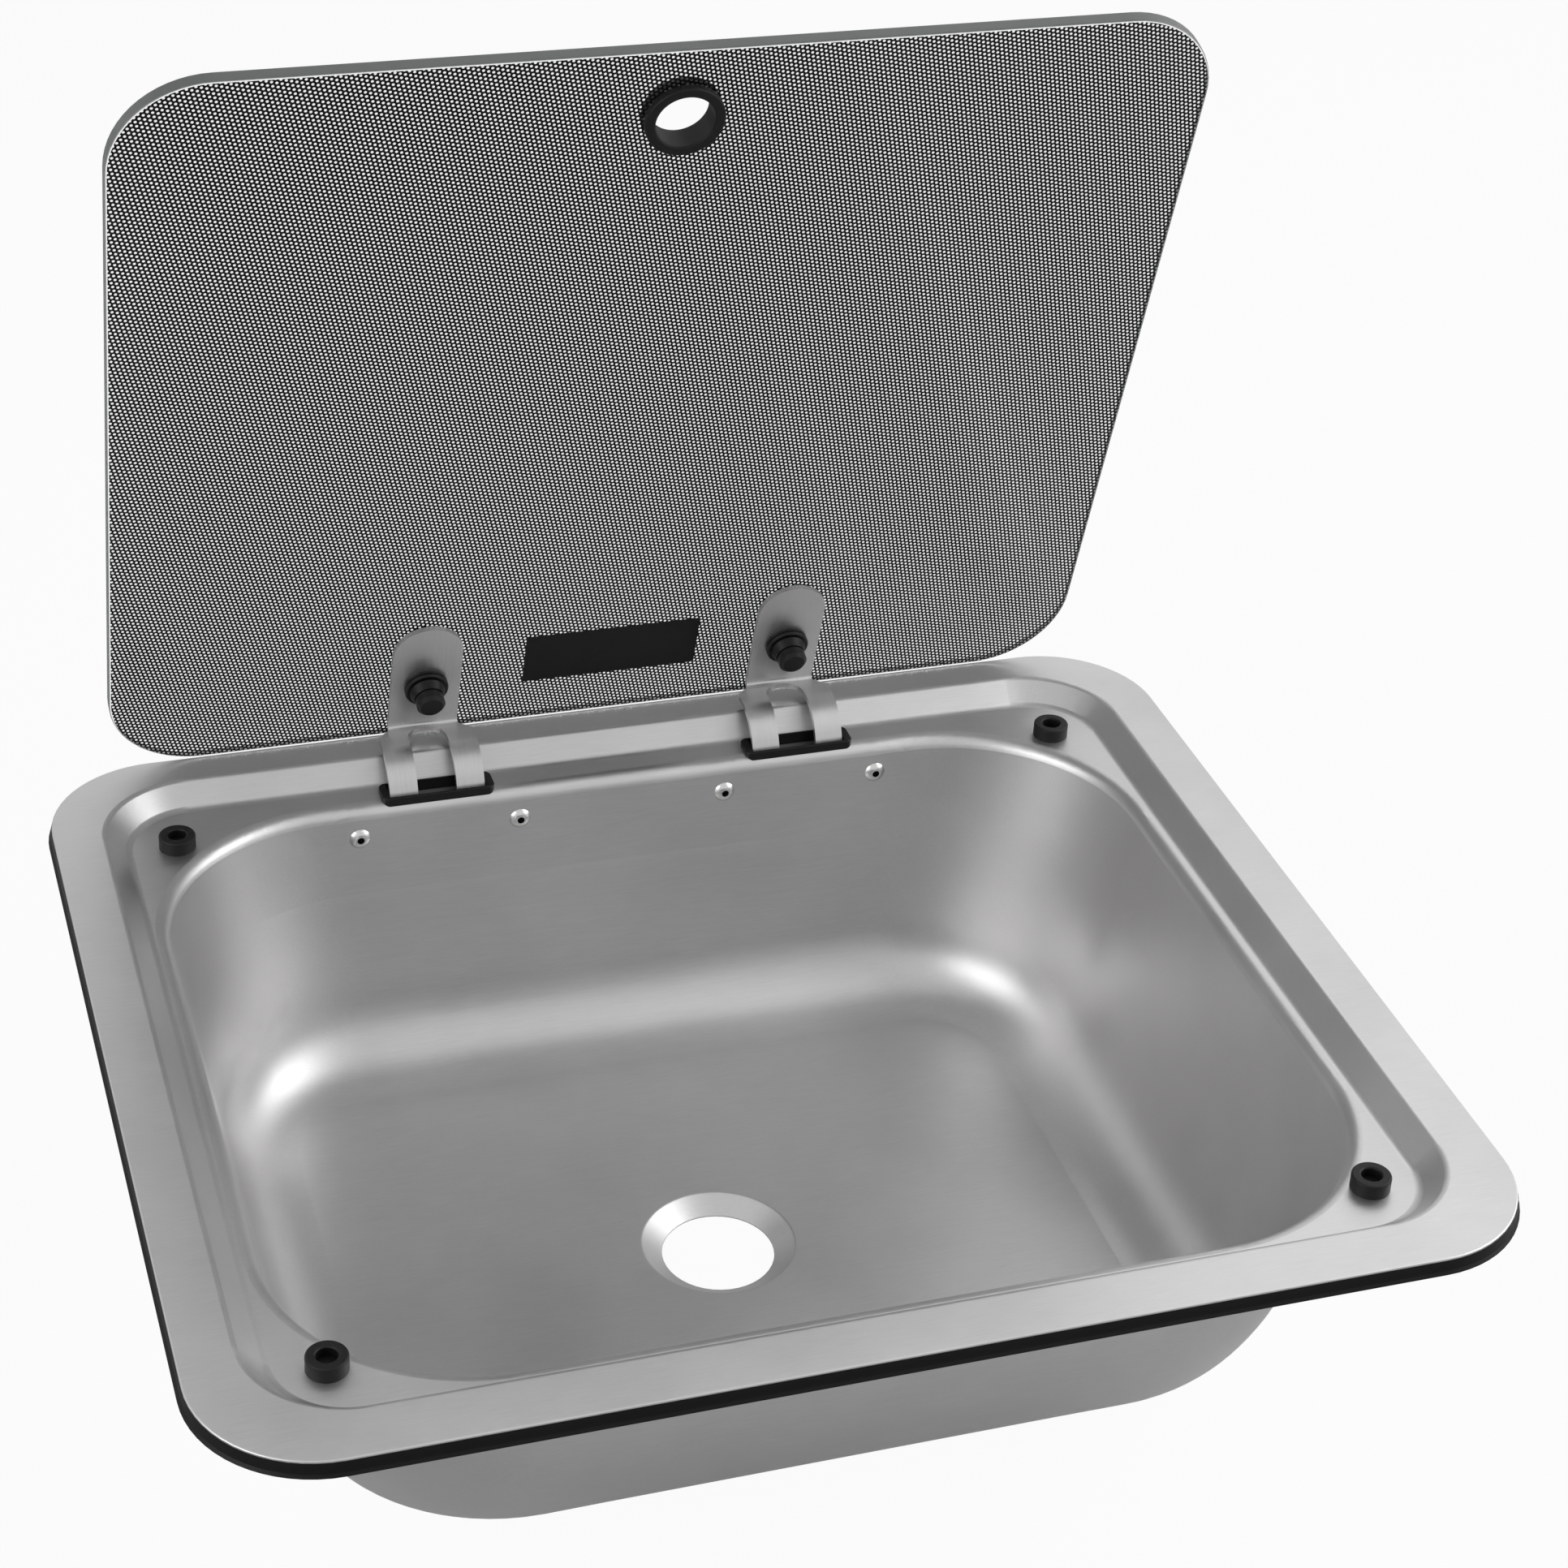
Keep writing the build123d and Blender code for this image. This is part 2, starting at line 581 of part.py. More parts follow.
def cap_nut(cx):
    """Cap nut with a grooved flange, tapered body and round cap, threaded blind over the screw."""
    foot = GASKET + STRAP
    bore = SCREW_R + SCREW_GAP
    tip = foot + NUT_H
    edge = foot + NUT_FLANGE / 2
    flange_top = foot + NUT_FLANGE
    body_end = flange_top + NUT_GROOVE + NUT_BODY
    return turned(screw_plane(cx), [
        (bore, foot),
        (NUT_FLANGE_R, foot),
        (NUT_FLANGE_R, edge - NUT_GROOVE / 2),
        (NUT_FLANGE_R - NUT_GROOVE, edge - NUT_GROOVE / 2),
        (NUT_FLANGE_R - NUT_GROOVE, edge + NUT_GROOVE / 2),
        (NUT_FLANGE_R, edge + NUT_GROOVE / 2),
        (NUT_FLANGE_R, flange_top - NUT_GROOVE),
        (NUT_FLANGE_R - NUT_GROOVE, flange_top),
        (NUT_NECK_R, flange_top),
        (NUT_NECK_R, flange_top + NUT_GROOVE),
        (NUT_BODY_R, flange_top + NUT_GROOVE),
        (NUT_BODY_END_R, body_end),
        (NUT_NECK_R, body_end),
        (NUT_NECK_R, body_end + NUT_NECK),
        (NUT_R, body_end + NUT_NECK),
        (NUT_R, tip - NUT_CHAMFER),
        (NUT_R - NUT_CHAMFER, tip),
        (0, tip),
        (0, foot + SCREW_IN_NUT + SCREW_GAP),
        (bore, foot + SCREW_IN_NUT + SCREW_GAP),
    ])


def lid_screw(cx):
    """Flat-headed screw from the glass's outer face into the cap nut."""
    seat = -GLASS - WASHER
    with BuildPart() as screw:
        add(turned(screw_plane(cx), [
            (0, seat - HEAD_H),
            (HEAD_R - HEAD_ROUND, seat - HEAD_H),
            (HEAD_R, seat - HEAD_H + HEAD_ROUND),
            (HEAD_R, seat),
            (SCREW_R, seat),
            (SCREW_R, GASKET + STRAP + SCREW_IN_NUT),
            (0, GASKET + STRAP + SCREW_IN_NUT),
        ]))
        with BuildSketch(lid_plane.offset(seat - HEAD_H)):
            with Locations((cx, SCREW_S)):
                Rectangle(2 * HEAD_R, SLOT_CUT)
        extrude(amount=SLOT_CUT, mode=Mode.SUBTRACT)
    return screw.part


def screw_washer(cx):
    """Flat washer between the screw's head and the glass."""
    return turned(screw_plane(cx), [
        (SCREW_R + SCREW_GAP, -GLASS - WASHER),
        (WASHER_R, -GLASS - WASHER),
        (WASHER_R, -GLASS),
        (SCREW_R + SCREW_GAP, -GLASS),
    ])


def slot_bezel(cx):
    """Frame on the ledge round the strap's slot, front edge lapping the rounded lip."""
    top = BEZEL_H - LEDGE
    lip_y = WALL_REAR + LIP_BEND
    with BuildPart() as bezel:
        with BuildSketch(Plane.XY.offset(top)):
            with Locations((cx, (BEZEL_FRONT + BEZEL_REAR) / 2)):
                RectangleRounded(BEZEL_W, BEZEL_REAR - BEZEL_FRONT, BEZEL_CORNER)
        extrude(amount=-BEZEL_H - LIP_BEND / 2)
        bezel_top = bezel.faces().sort_by(Axis.Z)[-1]
        fillet(bezel_top.edges(), BEZEL_ROUND)
        # underside on the ledge and round the lip
        with BuildSketch(Plane.YZ.offset(cx - BEZEL_W)):
            with Locations((lip_y, -LEDGE - LIP_BEND)):
                Circle(LIP_BEND + SKIRT_GAP)
            with Locations((lip_y + BEZEL_W / 2, -LEDGE - LIP_BEND)):
                Rectangle(BEZEL_W, 2 * LIP_BEND)
        extrude(amount=2 * BEZEL_W, mode=Mode.SUBTRACT)
        # skirt through the sheet
        skirt_y0 = lip_y + SKIRT_GAP
        skirt_y1 = SLOT_REAR + SKIRT
        with BuildSketch(Plane.XY.offset(-LEDGE - SKIRT_H)):
            with Locations((cx, (skirt_y0 + skirt_y1) / 2)):
                Rectangle(SLOT_W + 2 * SKIRT_END, skirt_y1 - skirt_y0)
        extrude(amount=SKIRT_H + BEZEL_H / 2)
        with BuildSketch(Plane.XY.offset(-LEDGE - SKIRT_H)):
            with Locations((cx, (SLOT_FRONT + SLOT_REAR) / 2)):
                Rectangle(SLOT_W, SLOT_REAR - SLOT_FRONT)
        extrude(amount=SKIRT_H + 2 * BEZEL_H, mode=Mode.SUBTRACT)
    return bezel.part


def hinge_bracket(cx):
    """Pressed bracket: flanges on the wall, two ears for the pin, a web with a stop lip."""
    wall = WALL_REAR + SHEET
    web_under = AXIS_Z + COIL_R + WIRE_R + SPRING_GAP
    web_top = web_under + PLATE
    leg_top = AXIS_Z - PIN_R - PIN_GAP
    back = AXIS_Y + EAR_ROUND
    with BuildPart() as bracket:
        for way in (-1, 1):
            with BuildSketch(Plane.YZ.offset(cx + way * EAR_IN)) as ear:
                with BuildLine():
                    Polyline(
                        (wall, FLANGE_TOP),
                        (EAR_STEP_Y, FLANGE_TOP),
                        (EAR_STEP_Y, web_top),
                        (back, web_top),
                        (back, AXIS_Z - EAR_ROUND),
                        (AXIS_Y - EAR_ROUND, AXIS_Z - EAR_ROUND),
                        (wall + FLANGE_CORNER, FLANGE_BOTTOM),
                        (wall, FLANGE_BOTTOM),
                        close=True,
                    )
                make_face()
                corner = [v for v in ear.vertices() if v.X > back - NEAR]
                fillet(corner, EAR_ROUND - PLATE)
                with Locations((AXIS_Y, AXIS_Z)):
                    Circle(PIN_R + PIN_GAP, mode=Mode.SUBTRACT)
            extrude(amount=way * PLATE)
            with BuildSketch(Plane.XZ.offset(-wall)) as flange:
                with Locations((cx + way * (EAR_IN + FLANGE_END) / 2, (FLANGE_TOP + FLANGE_BOTTOM) / 2)):
                    Rectangle(FLANGE_END - EAR_IN, FLANGE_TOP - FLANGE_BOTTOM)
                outer = [v for v in flange.vertices() if abs(v.X - cx) > FLANGE_END - NEAR]
                fillet(outer, FLANGE_CORNER)
                with Locations((cx + way * RIVET_DX, RIVET_Z)):
                    Circle(RIVET_R + RIVET_GAP, mode=Mode.SUBTRACT)
            extrude(amount=-PLATE)
        with BuildSketch(Plane.XY.offset(web_under)):
            with Locations((cx, (EAR_STEP_Y + AXIS_Y + PLATE) / 2)):
                Rectangle(2 * EAR_IN, AXIS_Y + PLATE - EAR_STEP_Y)
        extrude(amount=PLATE)
        with BuildSketch(Plane.XZ.offset(-EAR_STEP_Y)):
            with Locations((cx, (web_top + leg_top + STOP_GAP) / 2)):
                Rectangle(2 * EAR_IN, web_top - leg_top - STOP_GAP)
        extrude(amount=-PLATE)
    return bracket.part


def hinge_pin(cx):
    """Pin through both ears with a head on the left and a clip groove on the right."""
    ear_out = EAR_IN + PLATE
    head_in = -ear_out - PIN_GAP
    groove = ear_out + PIN_GAP
    plane = Plane(origin=(cx, AXIS_Y, AXIS_Z), x_dir=(0, -1, 0), z_dir=(0, 0, 1))
    return turned(plane, [
        (0, head_in - PIN_HEAD),
        (PIN_HEAD_R - PIN_HEAD / 3, head_in - PIN_HEAD),
        (PIN_HEAD_R, head_in - PIN_HEAD * 2 / 3),
        (PIN_HEAD_R, head_in),
        (PIN_R, head_in),
        (PIN_R, groove),
        (GROOVE_R, groove),
        (GROOVE_R, groove + CLIP + 2 * CLIP_GAP),
        (PIN_R, groove + CLIP + 2 * CLIP_GAP),
        (PIN_R, groove + CLIP + PIN_TAIL - PIN_HEAD / 3),
        (PIN_R - PIN_HEAD / 3, groove + CLIP + PIN_TAIL),
        (0, groove + CLIP + PIN_TAIL),
    ])


def pin_clip(cx):
    """Open retaining ring in the pin's groove."""
    face = cx + EAR_IN + PLATE + PIN_GAP + CLIP_GAP
    with BuildPart() as clip:
        with BuildSketch(Plane.YZ.offset(face)):
            with Locations((AXIS_Y, AXIS_Z)):
                Circle(CLIP_R)
                Circle(GROOVE_R + CLIP_GAP, mode=Mode.SUBTRACT)
            with Locations((AXIS_Y, AXIS_Z - CLIP_R)):
                Rectangle(CLIP_MOUTH, 2 * CLIP_R, mode=Mode.SUBTRACT)
        extrude(amount=CLIP)
    return clip.part


def spring_wire(cx):
    """Middle line of the spring: cross leg under the right arm, coil, leg on the web."""
    under_arm = AXIS_Z - PIN_R - PIN_GAP - STRAP - WIRE_R - SPRING_GAP
    dy = LOOSE_LEG_Y - AXIS_Y
    dz = under_arm - AXIS_Z
    meet = math.atan2(dz, dy) + math.acos(COIL_R / math.hypot(dy, dz))
    last = math.pi / 2 + 2 * math.pi * COIL_TURNS
    steps = round((last - meet) / (math.pi / 2))
    turns = (last - meet) / (2 * math.pi)
    x0 = cx + turns * COIL_PITCH / 2
    points = []
    headings = []
    for i in range(steps + 1):
        angle = meet + (last - meet) * i / steps
        points.append(Vector(x0 - turns * COIL_PITCH * i / steps, AXIS_Y + COIL_R * math.cos(angle),
                             AXIS_Z + COIL_R * math.sin(angle)))
        climb = 0 if i in (0, steps) else -COIL_PITCH / (2 * math.pi * COIL_R)
        headings.append(Vector(climb, -math.sin(angle), math.cos(angle)).normalized())
    corner = Vector(x0, LOOSE_LEG_Y, under_arm)
    with BuildLine() as wire:
        Line((cx + LOOSE_LEG_X, LOOSE_LEG_Y, under_arm), corner + Vector(LOOSE_BEND, 0, 0))
        TangentArc(corner + Vector(LOOSE_BEND, 0, 0), corner + headings[0] * LOOSE_BEND, tangent=(-1, 0, 0))
        Line(corner + headings[0] * LOOSE_BEND, points[0])
        for p0, p1, t0, t1 in zip(points, points[1:], headings, headings[1:]):
            gap = p1 - p0
            along = gap.dot(t0 + t1)
            share = 2 * (1 - t0.dot(t1))
            d = (math.sqrt(along ** 2 + 2 * share * gap.dot(gap)) - along) / (2 * share)
            middle = (p0 + t0 * d + p1 - t1 * d) / 2
            TangentArc(p0, middle, tangent=t0)
            TangentArc(middle, p1, tangent=middle - p0 - t0 * d)
        Line(points[-1], (points[-1].X, FIXED_LEG_Y, points[-1].Z))
    return Wire(wire.line.edges(), sequenced=True)


def hinge_spring(cx):
    """Torsion spring as one unbroken wire."""
    path = spring_wire(cx)
    with BuildPart() as spring:
        with BuildSketch(Plane(origin=path @ 0, z_dir=path % 0)):
            Circle(WIRE_R)
        sweep(path=path)
    return spring.part


def rivets(cx):
    """Two blind rivets: domed head in the bowl, bulb behind the bracket's flange."""
    behind = SHEET + PLATE
    flat_r = RIVET_HOLE_R + RIVET_FLAT
    dome_r, dome_y = (RIVET_HEAD_R + flat_r) / 2, -RIVET_HEAD * math.cos(math.pi / 4)
    with BuildPart() as pair:
        for dx in (-RIVET_DX, RIVET_DX):
            plane = Plane(origin=(cx + dx, WALL_REAR, RIVET_Z), x_dir=(1, 0, 0), z_dir=(0, 0, 1))
            with BuildSketch(plane):
                with BuildLine():
                    Polyline((flat_r, -RIVET_HEAD), (RIVET_HOLE_R, -RIVET_HEAD),
                             (RIVET_HOLE_R, -RIVET_HEAD + RIVET_HOLE_H), (0, -RIVET_HEAD + RIVET_HOLE_H),
                             (0, behind + RIVET_BULB), (RIVET_R, behind + RIVET_BULB),
                             (RIVET_BULB_R, behind + RIVET_BULB / 2), (RIVET_BULB_R, behind + RIVET_GAP),
                             (RIVET_R, behind), (RIVET_R, 0), (RIVET_HEAD_R, 0))
                    ThreePointArc((RIVET_HEAD_R, 0), (dome_r, dome_y), (flat_r, -RIVET_HEAD))
                make_face()
            revolve(axis=Axis(plane.origin, plane.y_dir))
    return pair.part


# Hinge pieces, one set per side
makers = {
    "hinge_strap": hinge_strap,
    "strap_gasket": strap_gasket,
    "cap_nut": cap_nut,
    "lid_screw": lid_screw,
    "screw_washer": screw_washer,
    "slot_bezel": slot_bezel,
    "hinge_bracket": hinge_bracket,
    "hinge_pin": hinge_pin,
    "pin_clip": pin_clip,
    "hinge_spring": hinge_spring,
    "rivets": rivets,
}
for side, cx in (("left", -HINGE_X), ("right", HINGE_X)):
    for stem, maker in makers.items():
        finish(maker(cx), f"{stem}_{side}")

# Least gap of the spring to itself, measured along the middle line
spring_path = spring_wire(HINGE_X)
SAMPLES = 600
NEIGHBOUR = 8.0        # length along the wire below which two points are the same turn
marks = [spring_path @ (i / SAMPLES) for i in range(SAMPLES + 1)]
step = spring_path.length / SAMPLES
least = min((marks[i] - marks[j]).length for i in range(SAMPLES + 1)
            for j in range(i + 1, SAMPLES + 1) if (j - i) * step > NEIGHBOUR)
print("least gap of the spring to itself, mm:", round(least - 2 * WIRE_R, 3))
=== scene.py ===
import math

import bmesh
import bpy
from mathutils import Euler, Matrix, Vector


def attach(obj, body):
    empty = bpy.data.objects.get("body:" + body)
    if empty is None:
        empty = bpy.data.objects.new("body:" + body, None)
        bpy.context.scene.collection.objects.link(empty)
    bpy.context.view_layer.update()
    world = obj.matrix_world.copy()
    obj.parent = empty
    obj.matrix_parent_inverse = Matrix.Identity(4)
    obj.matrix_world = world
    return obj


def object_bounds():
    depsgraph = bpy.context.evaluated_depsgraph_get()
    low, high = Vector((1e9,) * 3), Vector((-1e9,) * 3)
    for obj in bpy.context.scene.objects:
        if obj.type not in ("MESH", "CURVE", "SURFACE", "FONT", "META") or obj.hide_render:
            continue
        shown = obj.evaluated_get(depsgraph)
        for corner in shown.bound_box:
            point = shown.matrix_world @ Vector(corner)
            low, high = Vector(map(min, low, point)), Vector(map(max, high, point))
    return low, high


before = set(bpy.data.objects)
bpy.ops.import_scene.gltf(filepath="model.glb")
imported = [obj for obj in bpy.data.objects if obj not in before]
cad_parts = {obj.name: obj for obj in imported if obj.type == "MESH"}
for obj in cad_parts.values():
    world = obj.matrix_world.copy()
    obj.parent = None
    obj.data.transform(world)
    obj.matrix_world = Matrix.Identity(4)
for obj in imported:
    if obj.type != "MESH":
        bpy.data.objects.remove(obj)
cad_low, cad_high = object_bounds()

# Metres. Places and sizes that the part's source gives to the lid and the rivets
OPEN = math.radians(107.0)
LID_ORIGIN = Vector((0, 0.1845, 0.0003))
LID_W, LID_H, LID_R = 0.369, 0.311, 0.0335
GRIP_S, GRIP_HOLE = 0.284, 0.0114
HINGE_X, SCREW_S, SCREW_HOLE = 0.0695, 0.0277, 0.005
RIVET_DX, RIVET_Z, RIVET_BORE, RIVET_FACE = 0.030, -0.0207, 0.00137, 0.1472

# On the open lid: up along the glass, and out of its underside
UP = Vector((0, math.cos(OPEN), math.sin(OPEN)))
OUT = Vector((0, -math.sin(OPEN), math.cos(OPEN)))

# Print on the glass
PRINT_INSET, PRINT_LIFT = 0.00072, 0.00003
GRIP_CLEAR, SCREW_CLEAR = 0.0004, 0.0003
CORNER_STEPS = 16
DOT_PITCH, DOT_LEAN = 0.001711, 14.85
DOT_LEVEL, DOT_SOFT = 0.62, 0.15
BARE_X, BARE_S = 0.00125, 0.0324
BARE_HALF_W, BARE_HALF_H = 0.03325, 0.0121

# Floor and surroundings: their share of plain white for straight rays and in mirrors
FLOOR_HALF, FLOOR_DROP = 12.0, 0.0002
FLOOR_WHITE, FLOOR_MIRRORED = 0.95, 0.10
ROOM_WHITE, ROOM_MIRRORED, ROOM_LIGHT = 1.0, 0.78, 0.12

# Sockets of a colour mix node
MIX_FACTOR, MIX_FIRST, MIX_SECOND, MIX_RESULT = 0, 6, 7, 2


# ---------------------------------------------------------------- node helpers
class Graph:
    """A node tree with short helpers. A helper's values are numbers, tuples or sockets."""

    def __init__(self, tree):
        self.tree = tree

    def node(self, kind, **settings):
        made = self.tree.nodes.new(kind)
        for key, value in settings.items():
            setattr(made, key, value)
        return made

    def put(self, socket, value):
        if isinstance(value, bpy.types.NodeSocket):
            self.tree.links.new(value, socket)
        elif socket.type == "RGBA":
            socket.default_value = (*value, 1)
        else:
            socket.default_value = value

    def fill(self, node, **values):
        """Sets inputs by name, with _ for a space."""
        for key, value in values.items():
            self.put(node.inputs[key.replace("_", " ")], value)
        return node

    def shade(self, **values):
        return self.fill(self.tree.nodes["Principled BSDF"], **values)

    def math(self, kind, *values):
        made = self.node("ShaderNodeMath", operation=kind)
        for socket, value in zip(made.inputs, values):
            self.put(socket, value)
        return made.outputs[0]

    def blend(self, first, second, weight):
        """The sum of two values, the first by its weight and the second by the rest."""
        return self.math("ADD", self.math("MULTIPLY", first, weight),
                         self.math("MULTIPLY", second, 1 - weight))

    def dot(self, vector, other):
        made = self.node("ShaderNodeVectorMath", operation="DOT_PRODUCT")
        self.put(made.inputs[0], vector)
        self.put(made.inputs[1], other)
        return made.outputs["Value"]

    def noise(self, vector, scale, detail=3.0, rough=0.5):
        made = self.node("ShaderNodeTexNoise")
        self.fill(made, Vector=vector, Scale=scale, Detail=detail, Roughness=rough)
        return made.outputs[0]

    def between(self, value, low, high, to_low=0.0, to_high=1.0):
        made = self.node("ShaderNodeMapRange")
        for socket, item in zip(made.inputs, (value, low, high, to_low, to_high)):
            self.put(socket, item)
        return made.outputs[0]

    def colour(self, factor, first, second):
        made = self.node("ShaderNodeMix", data_type="RGBA")
        self.put(made.inputs[MIX_FACTOR], factor)
        self.put(made.inputs[MIX_FIRST], first)
        self.put(made.inputs[MIX_SECOND], second)
        return made.outputs[MIX_RESULT]

    def bump(self, height, strength, distance):
        made = self.node("ShaderNodeBump")
        self.fill(made, Height=height, Strength=strength, Distance=distance)
        self.shade(Normal=made.outputs[0])

    def coords(self, kind="Object"):
        return self.node("ShaderNodeTexCoord").outputs[kind]

    def white_for_view(self, lit, kind, straight, mirrored, surface):
        """Shows the white of a glowing node to straight rays and in mirrors, by these shares."""
        path = self.node("ShaderNodeLightPath").outputs
        direct = self.math("MAXIMUM", path["Is Camera Ray"], path["Is Transmission Ray"])
        share = self.math("MAXIMUM", self.math("MULTIPLY", direct, straight),
                          self.math("MULTIPLY", path["Is Glossy Ray"], mirrored))
        glow = self.fill(self.node(kind), Color=(1, 1, 1), Strength=1.0)
        mix = self.node("ShaderNodeMixShader")
        for socket, value in zip(mix.inputs, (share, lit, glow.outputs[0])):
            self.put(socket, value)
        self.put(surface, mix.outputs[0])


def new_material(name):
    material = bpy.data.materials.new(name)
    material.use_nodes = True
    return material, Graph(material.node_tree)


# ---------------------------------------------------------------- materials
def steel(name, tint, rough, grain=(6, 240, 240), depth=0.05):
    """Satin metal with a fine grain, streaked by its scale on X, Y and Z, and faint clouding."""
    material, g = new_material(name)
    place = g.coords()
    along = g.fill(g.node("ShaderNodeMapping"), Vector=place, Scale=grain).outputs[0]
    streak = g.noise(along, scale=14.0, rough=0.6)
    cloud = g.noise(place, scale=18.0, rough=0.55)
    tone = g.blend(streak, cloud, 0.55)
    dark, light = (tuple(c * k for c in tint) for k in (0.90, 1.08))
    g.shade(Base_Color=g.colour(g.between(tone, 0.3, 0.7), dark, light), Metallic=1.0,
            Roughness=g.between(tone, 0.3, 0.7, rough - 0.05, rough + 0.05))
    g.bump(streak, depth, 0.0002)
    return material


def black(name, level, rough, shine=0.3, speck=900.0):
    """Moulded rubber or plastic: near black with a fine moulding texture."""
    material, g = new_material(name)
    place = g.coords()
    fine = g.noise(place, scale=speck, rough=0.6)
    broad = g.noise(place, scale=60.0, detail=2.0)
    tone = g.blend(fine, broad, 0.4)
    dark, light = ((level * k,) * 3 for k in (0.75, 1.35))
    g.shade(Base_Color=g.colour(g.between(tone, 0.35, 0.65), dark, light),
            Roughness=g.between(tone, 0.3, 0.7, rough - 0.08, rough + 0.08),
            Specular_IOR_Level=shine)
    g.bump(fine, 0.15, 0.00005)
    return material


def rivet_metal_painted_bore_shade():
    """Bright alloy of the blind rivets. The bore left by the pulled mandrel is painted near
    black and not metallic, as painted shade in the hole.
    """
    material = steel("rivet_alloy_painted_bore_shade", (0.70, 0.70, 0.69), 0.24, grain=(80, 80, 80))
    g = Graph(material.node_tree)
    x, y, z = g.fill(g.node("ShaderNodeSeparateXYZ"), Vector=g.coords()).outputs
    from_hinge = g.math("ABSOLUTE", g.math("SUBTRACT", g.math("ABSOLUTE", x), HINGE_X))
    across = g.math("SUBTRACT", from_hinge, RIVET_DX)
    above = g.math("SUBTRACT", z, RIVET_Z)
    square = g.math("ADD", g.math("POWER", across, 2), g.math("POWER", above, 2))
    in_bore = g.math("LESS_THAN", g.math("SQRT", square), RIVET_BORE)
    past_face = g.math("GREATER_THAN", y, RIVET_FACE)
    # Painted shade: marks the bore's disc on the rivet face, to be coloured as the shade inside
    # the hole
    dark = g.math("MULTIPLY", in_bore, past_face)
    alloy = g.tree.nodes["Principled BSDF"].inputs["Base Color"].links[0].from_socket
    # Painted shade in the bore: near black and not metallic in place of the alloy
    g.shade(Base_Color=g.colour(dark, alloy, (0.01, 0.01, 0.01)),
            Metallic=g.math("SUBTRACT", 1.0, dark))
    return material


def lid_glass():
    """Clear toughened glass, its rounded edges ground matt."""
    material, g = new_material("toughened_glass")
    facing = g.math("ABSOLUTE", g.dot(g.coords("Normal"), tuple(OUT)))
    edge = g.between(facing, 0.93, 0.80)
    grind = g.noise(g.coords(), scale=1400.0)
    g.shade(Base_Color=g.colour(edge, (0.97, 0.99, 0.98), (0.30, 0.32, 0.315)),
            Roughness=g.between(edge, 0, 1, 0.015, 0.45),
            Transmission_Weight=g.between(edge, 0, 1, 1.0, 0.25), IOR=1.5)
    g.bump(g.math("MULTIPLY", edge, grind), 0.2, 0.00004)
    return material


def dotted_print():
    """Black print with a hexagonal lattice of clear dots and one bare rectangle."""
    material, g = new_material("dotted_print")
    place = g.coords()

    # Three waves at 60 degrees to each other peak together at each dot
    step = 2 * math.pi / (DOT_PITCH * math.cos(math.radians(30)))
    waves = []
    for turn in (-60, 0, 60):
        a = math.radians(DOT_LEAN + turn)
        across = Vector((math.cos(a), 0, 0)) + UP * math.sin(a)
        waves.append(g.math("COSINE", g.dot(place, tuple(across * step))))
    total = g.math("ADD", g.math("ADD", waves[0], waves[1]), waves[2])
    dots = g.between(total, DOT_LEVEL - DOT_SOFT, DOT_LEVEL + DOT_SOFT)

    x = g.math("SUBTRACT", g.dot(place, (1, 0, 0)), BARE_X)
    s = g.math("SUBTRACT", g.dot(place, tuple(UP)), LID_ORIGIN.dot(UP) + BARE_S)
    in_x = g.math("LESS_THAN", g.math("ABSOLUTE", x), BARE_HALF_W)
    in_s = g.math("LESS_THAN", g.math("ABSOLUTE", s), BARE_HALF_H)
    bare = g.math("MULTIPLY", in_x, in_s)
    clear = g.math("MULTIPLY", dots, g.math("SUBTRACT", 1.0, bare))

    mottle = g.noise(place, scale=90.0)
    g.shade(Base_Color=g.colour(clear, (0.004, 0.004, 0.0045), (0.93, 0.93, 0.93)),
            Alpha=g.between(clear, 0, 1, 1.0, 0.10),
            Roughness=g.between(mottle, 0.3, 0.7, 0.26, 0.36), Specular_IOR_Level=0.2)
    g.bump(g.math("SUBTRACT", 1.0, clear), 0.15, 0.00002)
    return material


SHEET_TINT = (0.604, 0.599, 0.601)
RUBBER = black("moulded_rubber", 0.007, 0.50)
PLASTIC = black("moulded_plastic", 0.006, 0.40, speck=1200.0)
PIN = steel("pin_steel", (0.58, 0.58, 0.58), 0.24, grain=(6, 200, 200))

# Material of each CAD node, by the start of its name
FINISHES = {
    "sink_bowl": steel("stainless_sheet", SHEET_TINT, 0.40),
    "rim_seal": black("seal_rubber", 0.005, 0.45, shine=0.2, speck=700.0),
    "glass_lid": lid_glass(),
    "finger_grommet": RUBBER,
    "pad_": RUBBER,
    "hinge_strap_": steel("strap_steel", SHEET_TINT, 0.36, grain=(200, 6, 6), depth=0.06),
    "strap_gasket_": RUBBER,
    "cap_nut_": PLASTIC,
    "lid_screw_": PLASTIC,
    "screw_washer_": RUBBER,
    "slot_bezel_": black("bezel_plastic", 0.005, 0.38, speck=1200.0),
    # Bracket steel tint darkened to half the sheet's, as painted shade in the cavity under the
    # hinge slot
    "hinge_bracket_": steel("bracket_steel", (0.30, 0.30, 0.30), 0.45),
    "hinge_pin_": PIN,
    "pin_clip_": PIN,
    "hinge_spring_": steel("spring_steel", (0.30, 0.30, 0.31), 0.34, grain=(60, 60, 60)),
    "rivets_": rivet_metal_painted_bore_shade(),
}
for name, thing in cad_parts.items():
    match = next(m for stem, m in FINISHES.items() if name.startswith(stem))
    thing.data.materials.clear()
    thing.data.materials.append(match)


def place_object(name, data):
    made = bpy.data.objects.new(name, data)
    bpy.context.collection.objects.link(made)
    return made


# ---------------------------------------------------------------- print on the glass
def arc(x, s, radius, degrees):
    """Points at these angles on a circle round x, s."""
    turns = [math.radians(a) for a in degrees]
    return [(x + radius * math.cos(a), s + radius * math.sin(a)) for a in turns]


def hole(x, s, radius, count):
    return arc(x, s, radius, [360 * k / count for k in range(count)])


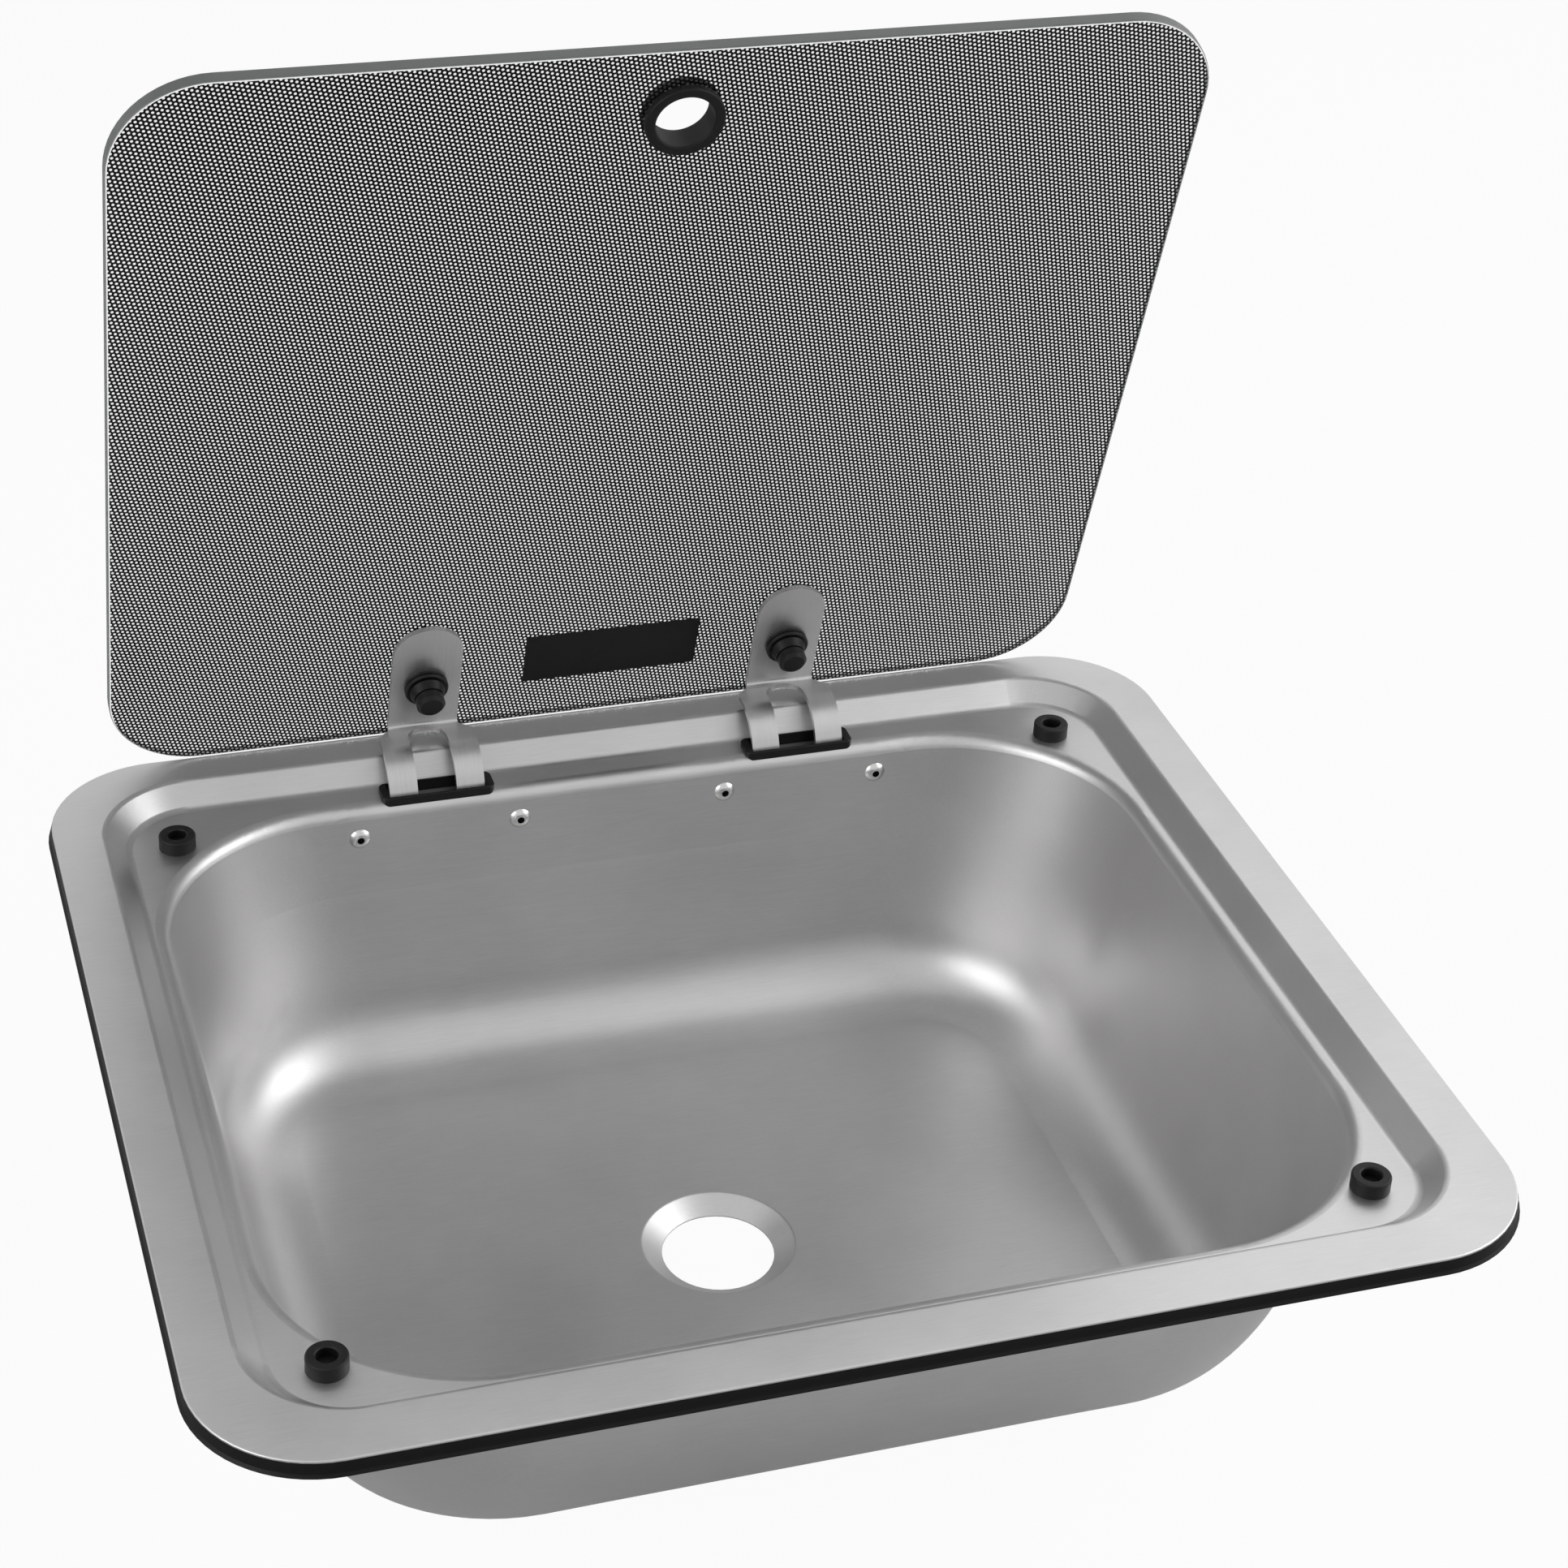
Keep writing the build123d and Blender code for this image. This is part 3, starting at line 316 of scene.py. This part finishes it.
def rounded(half, low, high, radius):
    """A rectangle from -half to half and from low to high, with round corners."""
    x, bottom, top = half - radius, low + radius, high - radius
    points = []
    for cx, cs, start in ((x, top, 0), (-x, top, 90), (-x, bottom, 180), (x, bottom, 270)):
        steps = range(CORNER_STEPS + 1)
        points += arc(cx, cs, radius, [start + 90 * k / CORNER_STEPS for k in steps])
    return points


def glass_print():
    """The printed layer on the lid's underside, cut out at the finger hole and screws."""
    inset = PRINT_INSET
    loops = [rounded(LID_W / 2 - inset, inset, LID_H - inset, LID_R - inset),
             hole(0, GRIP_S, GRIP_HOLE + GRIP_CLEAR, 48)]
    for x in (-HINGE_X, HINGE_X):
        loops.append(hole(x, SCREW_S, SCREW_HOLE + SCREW_CLEAR, 24))

    bm = bmesh.new()
    edges = []
    for loop in loops:
        verts = [bm.verts.new(LID_ORIGIN + Vector((x, 0, 0)) + UP * s + OUT * PRINT_LIFT)
                 for x, s in loop]
        edges += [bm.edges.new((a, b)) for a, b in zip(verts, verts[1:] + verts[:1])]
    bmesh.ops.triangle_fill(bm, edges=edges, use_beauty=True, normal=OUT)
    mesh = bpy.data.meshes.new("glass_print")
    bm.to_mesh(mesh)
    bm.free()
    mesh.materials.append(dotted_print())
    return place_object("glass_print", mesh)


film = glass_print()
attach(film, "lid")


# ---------------------------------------------------------------- floor and surroundings
def pale_floor():
    material, g = new_material("pale_floor")
    lit = g.shade(Base_Color=(0.90, 0.90, 0.90), Roughness=0.9)
    surface = g.tree.nodes["Material Output"].inputs["Surface"]
    g.white_for_view(lit.outputs[0], "ShaderNodeEmission", FLOOR_WHITE, FLOOR_MIRRORED, surface)
    return material


level = cad_low.z - FLOOR_DROP
corners = [(x * FLOOR_HALF, y * FLOOR_HALF, level)
           for x, y in ((-1, -1), (1, -1), (1, 1), (-1, 1))]
floor_mesh = bpy.data.meshes.new("floor")
floor_mesh.from_pydata(corners, [], [(0, 1, 2, 3)])
floor_mesh.materials.append(pale_floor())
floor = place_object("floor", floor_mesh)

scene = bpy.context.scene
scene.world = bpy.data.worlds.new("studio")
scene.world.use_nodes = True
room = Graph(scene.world.node_tree)
back = room.fill(room.tree.nodes["Background"], Strength=ROOM_LIGHT)
room.white_for_view(back.outputs[0], "ShaderNodeBackground", ROOM_WHITE, ROOM_MIRRORED,
                    room.tree.nodes["World Output"].inputs["Surface"])


# ---------------------------------------------------------------- light
BOWL_MIDDLE = Vector((0, 0, -0.05))


def softbox(name, place, width, height, power):
    """A rectangular lamp that faces the bowl."""
    data = bpy.data.lights.new(name, "AREA")
    data.shape = "RECTANGLE"
    data.size, data.size_y, data.energy = width, height, power
    lamp = place_object(name, data)
    lamp.location = place
    lamp.rotation_mode = "QUATERNION"
    lamp.rotation_quaternion = (BOWL_MIDDLE - Vector(place)).to_track_quat("-Z", "Y")


softbox("left", (-1.45, -0.45, 0.75), 1.5, 1.0, 10)
softbox("right", (1.5, 0, 0.95), 1.4, 1.5, 15)
softbox("front right", (1.36, -0.79, 0.64), 0.9, 0.9, 2.5)
softbox("rear right", (0.57, 0.98, 1.26), 0.8, 0.8, 1.3)

# ---------------------------------------------------------------- camera
# Solved from the photograph, with a smaller shift than its own
camera_data = bpy.data.cameras.new("camera")
camera_data.sensor_width = 36.0
camera_data.lens = 79.1996
camera_data.shift_x, camera_data.shift_y = 0.00041, -0.12008
camera_data.clip_start, camera_data.clip_end = 0.01, 100
camera = place_object("camera", camera_data)
camera.location = (-0.3003, -0.89363, 0.68452)
camera.rotation_euler = Euler([math.radians(a) for a in (60.5024, -2.7165, -17.477)])
scene.camera = camera
scene.view_settings.view_transform = "Standard"
